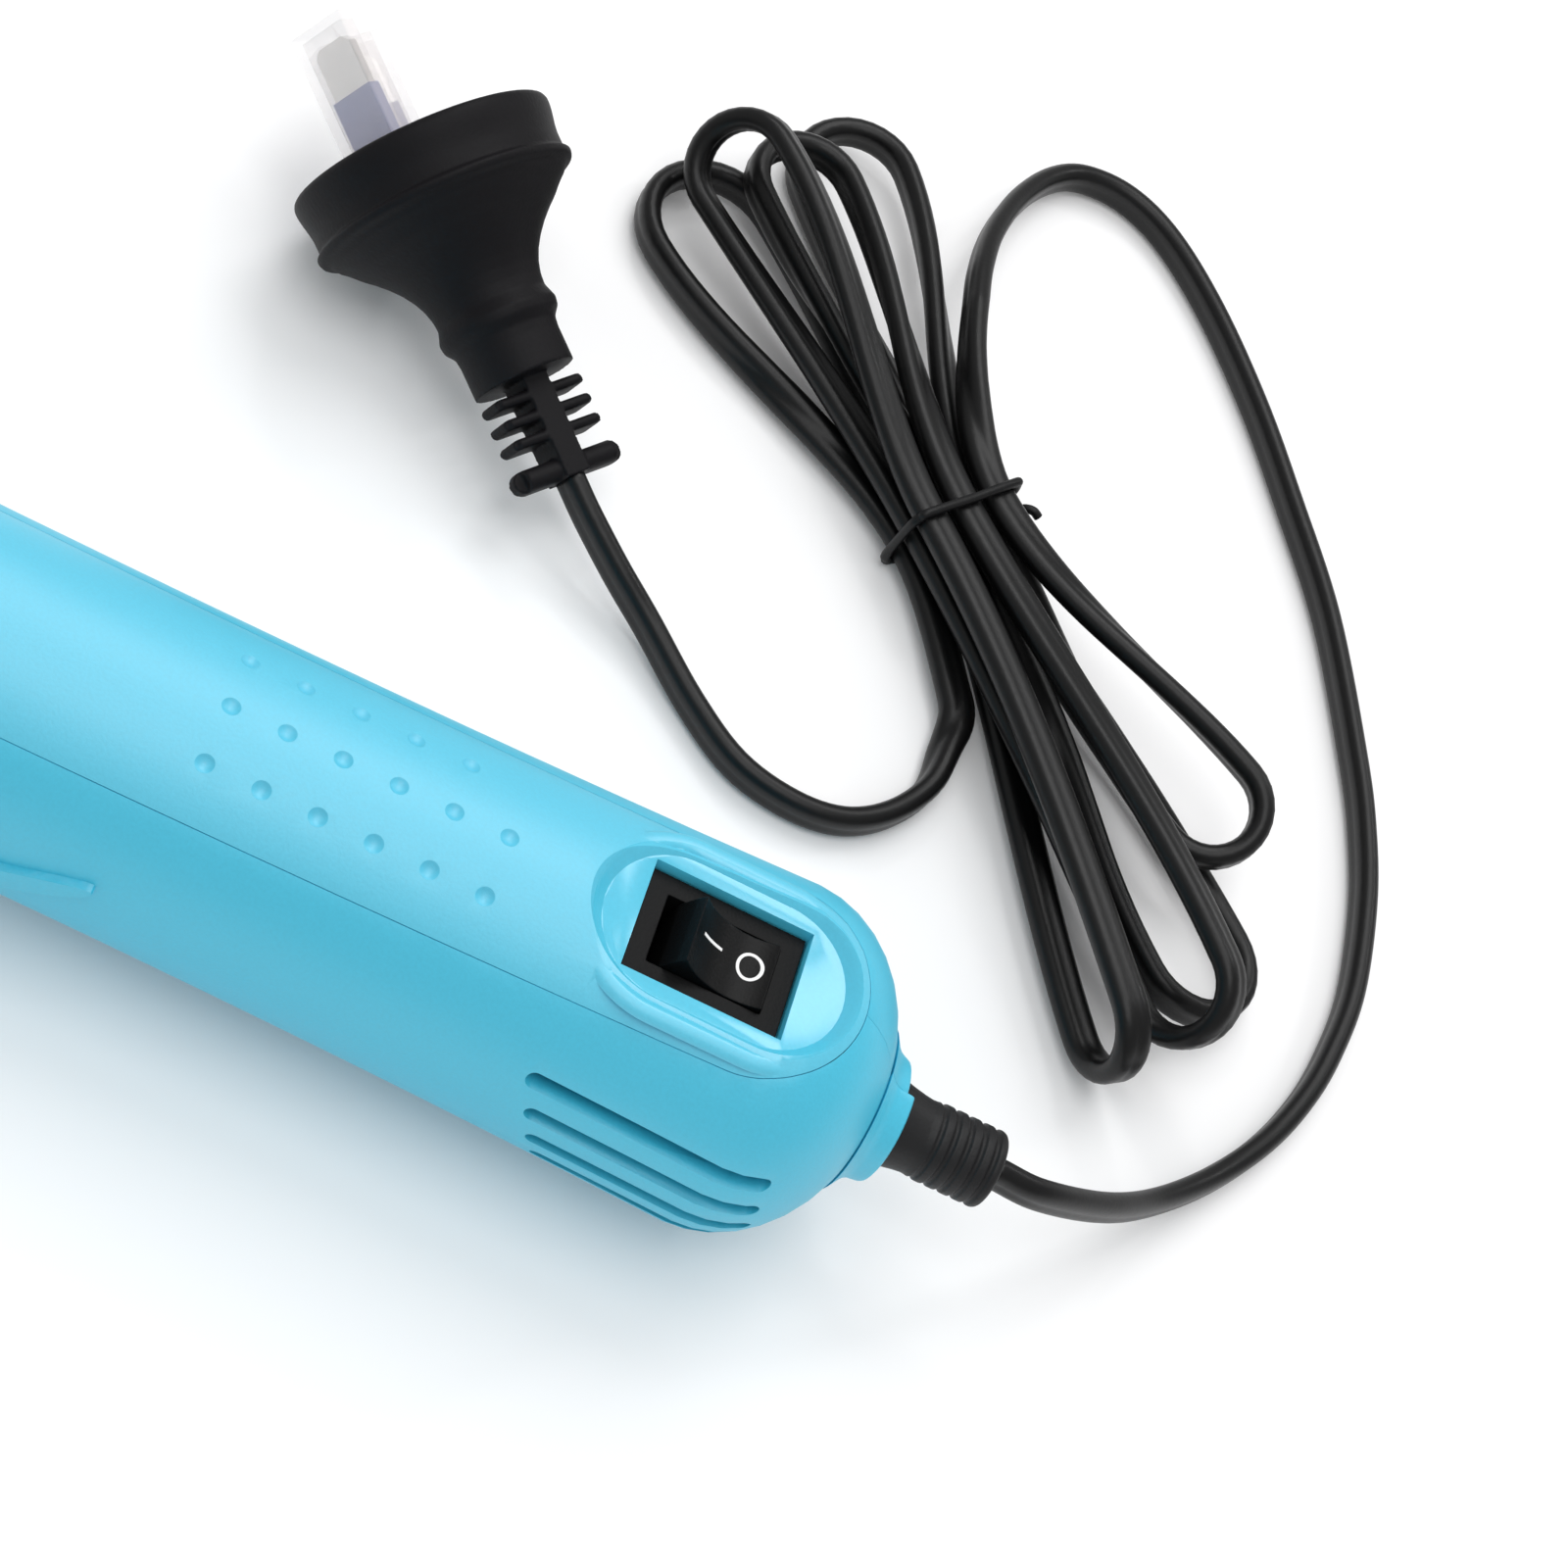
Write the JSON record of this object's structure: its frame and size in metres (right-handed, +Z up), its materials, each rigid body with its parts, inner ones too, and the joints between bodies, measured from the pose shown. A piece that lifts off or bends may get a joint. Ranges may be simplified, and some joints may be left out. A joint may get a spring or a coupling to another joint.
{
  "type": "embossing heat tool",
  "caption": "Pen-shaped mains hot air tool for craft work with a metal nozzle, a rocker switch in the grip, side vents, and a flat cord folded into a tied hank with a round plug.",
  "frame": {"origin": "under the middle of the tool's length, at the bottom of the body, where it lies on a table", "axes": "+X along the body from the nozzle to the cord, +Y to the side with the screw heads, +Z up through the switch"},
  "size_m": [0.2912, 0.2107, 0.046],
  "materials": {
    "shell": "satin",
    "nozzle": "satin",
    "mica": "matte",
    "resistance_wire": "satin",
    "cutout": "satin",
    "duct": "matte",
    "motor_steel": "satin",
    "motor_plastic": "matte",
    "magnet": "matte",
    "rotor_steel": "satin",
    "fan_plastic": "matte",
    "board": "matte",
    "diode": "gloss",
    "switch": "satin",
    "rocker": "satin",
    "terminal": "satin",
    "cord": "satin",
    "live_insulation": "satin",
    "neutral_insulation": "satin",
    "glass_sleeving": "matte",
    "clamp_plastic": "matte",
    "screw": "satin",
    "boot": "satin",
    "tie": "satin",
    "plug": "satin",
    "pin": "satin",
    "pin_sleeve": "satin",
    "clear_cover": "clear"
  },
  "bodies": {
    "tool": {"left_shell": "shell", "right_shell": "shell", "top_cover": "shell", "nozzle_tube": "nozzle", "outlet_grille": "nozzle", "heat_sleeve": "mica", "heater_former": "mica", "heater_coil": "resistance_wire", "thermal_cutout": "cutout", "fan_duct": "duct", "motor_can": "motor_steel", "motor_endcap": "motor_plastic", "motor_magnets": "magnet", "rectifier_board": "board", "diodes": "diode", "switch_body": "switch", "switch_terminals": "terminal", "inner_lead": "cord", "live_wire": "live_insulation", "neutral_wire": "neutral_insulation", "heater_leads": "glass_sleeving", "cord_clamp": "clamp_plastic", "clamp_screws": "screw", "body_screws": "screw", "cord_boot": "boot", "tool_lead": "cord", "cord_hank": "cord", "twist_tie": "tie", "plug_lead": "cord", "plug_body": "plug", "plug_pins": "pin", "pin_sleeves": "pin_sleeve"},
    "rocker": {"rocker": "rocker"},
    "rotor": {"armature": "rotor_steel", "impeller": "fan_plastic"},
    "pin_cover": {"pin_cover": "clear_cover"}
  },
  "joints": [
    {"name": "rocker_hinge", "type": "hinge", "parent": "tool", "child": "rocker", "pos_m": [0.0702, 0, 0.0363], "axis": [0, -1, 0], "range_deg": [0, 28.8]},
    {"name": "fan_spin", "type": "hinge", "parent": "tool", "child": "rotor", "pos_m": [0.008, 0, 0.0228], "axis": [1, 0, 0], "continuous": true},
    {"name": "pin_cover_pull", "type": "slide", "parent": "tool", "child": "pin_cover", "axis": [-0.76, 0.611, 0.2215], "range_m": [0, 0.03]}
  ]
}
